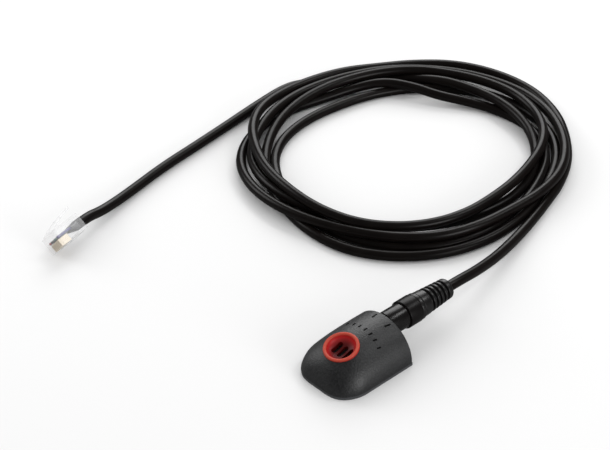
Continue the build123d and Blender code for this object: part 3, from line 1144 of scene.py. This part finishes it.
    def _spread(self, moves: np.ndarray) -> np.ndarray:
        """Moves of the free control points that follow from moves of the samples."""
        return self.free * (self.weights.T @ moves) / self.weights.sum(axis=0)[:, None]

    def length(self) -> float:
        """Length of the smooth curve, in metres."""
        line = self.weights @ self.points
        return float(np.linalg.norm(np.diff(line, axis=0), axis=1).sum() * MM)

    def build(self, pieces: Sequence[bpy.types.Object]) -> bpy.types.Object:
        """Args:
            pieces: What is on its far end; not used.

        Returns:
            The curve object.
        """
        curve = bpy.data.curves.new("lead", "CURVE")
        curve.dimensions = "3D"
        curve.bevel_depth = self.diameter * MM / 2
        curve.bevel_resolution = self.ring_resolution
        curve.resolution_u = self.run_resolution
        spline = curve.splines.new("NURBS")
        spline.points.add(len(self.points) - 1)
        for point, place in zip(spline.points, self.points):
            point.co = (*(place * MM), 1.0)
        spline.order_u = 3
        spline.use_endpoint_u = True
        lead = linked("lead", curve)
        lead.data.materials.append(MATERIALS.of("jacket"))
        round(self.length(), 2)
        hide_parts("cable_to_coil", "cable_coil", "cable_to_plug")
        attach(lead, "root")
        LOG.info("lead: %.3f m", self.length())
        return lead


@dataclass(frozen=True)
class Lamp:
    """A square soft lamp: place and size in metres, power in watts."""

    name: str
    place: Point
    size: float
    power: float

    def build(self, aim: Point) -> None:
        """Makes the lamp and turns it towards a point.

        Args:
            aim: The point, in metres.
        """
        data = bpy.data.lights.new(self.name, "AREA")
        data.size = self.size
        data.energy = self.power
        lamp = linked(self.name, data)
        lamp.location = self.place
        lamp.rotation_euler = facing(self.place, aim)


@dataclass(frozen=True)
class Studio:
    """Camera, floor, lamps and background.

    Attributes:
        camera_place: Where the camera is, in millimetres.
        camera_aim: What it looks at, in millimetres.
        lens: Focal length, in millimetres.
        sensor: Width of its sensor, in millimetres.
        view_depth: How far it sees, in metres.
        floor_half: Half of the floor's side, in metres.
        floor_seen: The floor's colour to the camera.
        floor_bounce: Its colour to the light that bounces off it.
        floor_roughness: Its roughness.
        lamp_aim: What the lamps look at, in metres.
        lamps: The lamps.
        dome: Strength of the white dome.
        dome_in_reflections: Its strength in reflections.
    """

    camera_place: Point = (306.9, -319.6, 371.3)
    camera_aim: Point = (-67.8, 28.0, 0.0)
    lens: float = 103.3
    sensor: float = 36.0
    view_depth: float = 10.0
    floor_half: float = 3.0
    floor_seen: Colour = (0.795, 0.795, 0.795)
    floor_bounce: Colour = (0.2, 0.2, 0.2)
    floor_roughness: float = 0.9
    lamp_aim: Point = (-0.07, 0.03, 0.0)
    lamps: tuple[Lamp, ...] = (
        Lamp("back", (-0.62, 0.62, 0.55), 0.6, 4.4),
        Lamp("key", (0.25, 0.55, 0.72), 0.2, 1.1),
        Lamp("left", (-0.8, -0.25, 0.4), 0.4, 1.8),
        Lamp("right", (0.85, 0.1, 0.24), 0.4, 2.8),
    )
    dome: float = 0.78
    dome_in_reflections: float = 0.05

    def camera(self) -> None:
        """Makes the camera and sets it."""
        data = bpy.data.cameras.new("camera")
        data.lens = self.lens
        data.sensor_width = self.sensor
        data.sensor_fit = "HORIZONTAL"
        data.clip_end = self.view_depth
        camera = linked("camera", data)
        place = Vector(self.camera_place) * MM
        camera.location = place
        camera.rotation_euler = facing(place, Vector(self.camera_aim) * MM)
        bpy.context.scene.camera = camera

    def floor(self) -> None:
        """Makes a plain floor that shows white to the camera and keeps the shadow."""
        mesh = bpy.data.meshes.new("floor")
        half = self.floor_half
        mesh.from_pydata(
            [(-half, -half, 0), (half, -half, 0), (half, half, 0), (-half, half, 0)],
            [],
            [(0, 1, 2, 3)],
        )
        floor = linked("floor", mesh)
        shader = Shader("floor")
        camera = shader.node("LightPath", output="Is Camera Ray")
        through = shader.node("LightPath", output="Is Transmission Ray")
        seen = shader.node("Math", {"operation": "MAXIMUM"}, {0: camera, 1: through})
        material = shader.finish(
            {
                "Base Color": shader.blend(seen, rgba(self.floor_bounce), rgba(self.floor_seen)),
                "Roughness": self.floor_roughness,
                "Specular IOR Level": 0.0,
            }
        )
        mesh.materials.append(material)

    def light(self) -> None:
        """Makes the lamps, and a white dome that reflections see only faintly."""
        for lamp in self.lamps:
            lamp.build(self.lamp_aim)
        world = bpy.data.worlds.new("world")
        world.use_nodes = True
        nodes, links = world.node_tree.nodes, world.node_tree.links
        path = nodes.new("ShaderNodeLightPath")
        strength = nodes.new("ShaderNodeMapRange")
        strength.inputs["To Min"].default_value = self.dome
        strength.inputs["To Max"].default_value = self.dome_in_reflections
        links.new(path.outputs["Is Glossy Ray"], strength.inputs["Value"])
        background = nodes["Background"]
        background.inputs["Color"].default_value = rgba((1.0, 1.0, 1.0))
        links.new(strength.outputs["Result"], background.inputs["Strength"])
        bpy.context.scene.world = world


# Nodes that wear another finish than their slot's own
OWN_FINISH = {"jacket_end": "jacket_end"}


def dress_nodes(frame: dict[str, object]) -> None:
    """Gives every CAD node the material of its slot.

    Args:
        frame: The shared frame.
    """
    for entry in frame["record"]["subparts"]:
        name, slot = entry["node"], entry["material_slot"]
        node = frame["nodes"][name]
        node.data.materials.clear()
        node.data.materials.append(MATERIALS.of(OWN_FINISH.get(name, slot)))
        LOG.info("%s: %s", name, slot)


def main(frame: dict[str, object]) -> None:
    """Builds the scene.

    Args:
        frame: The shared frame.
    """
    bpy.context.scene.view_settings.view_transform = "Standard"
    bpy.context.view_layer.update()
    nodes = frame["nodes"]
    studio = Studio()
    studio.camera()
    on_plug = [nodes[name] for name in nodes if name.startswith("plug_") or name == "jacket_end"]
    Lead().build(on_plug)
    studio.floor()
    studio.light()
    dress_nodes(frame)
    for exit_piece in EXIT_PIECES:
        exit_piece.build()
    for marks in MARKS:
        marks.build(nodes["housing_shell"])


if __name__ == "__main__":
    main(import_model())
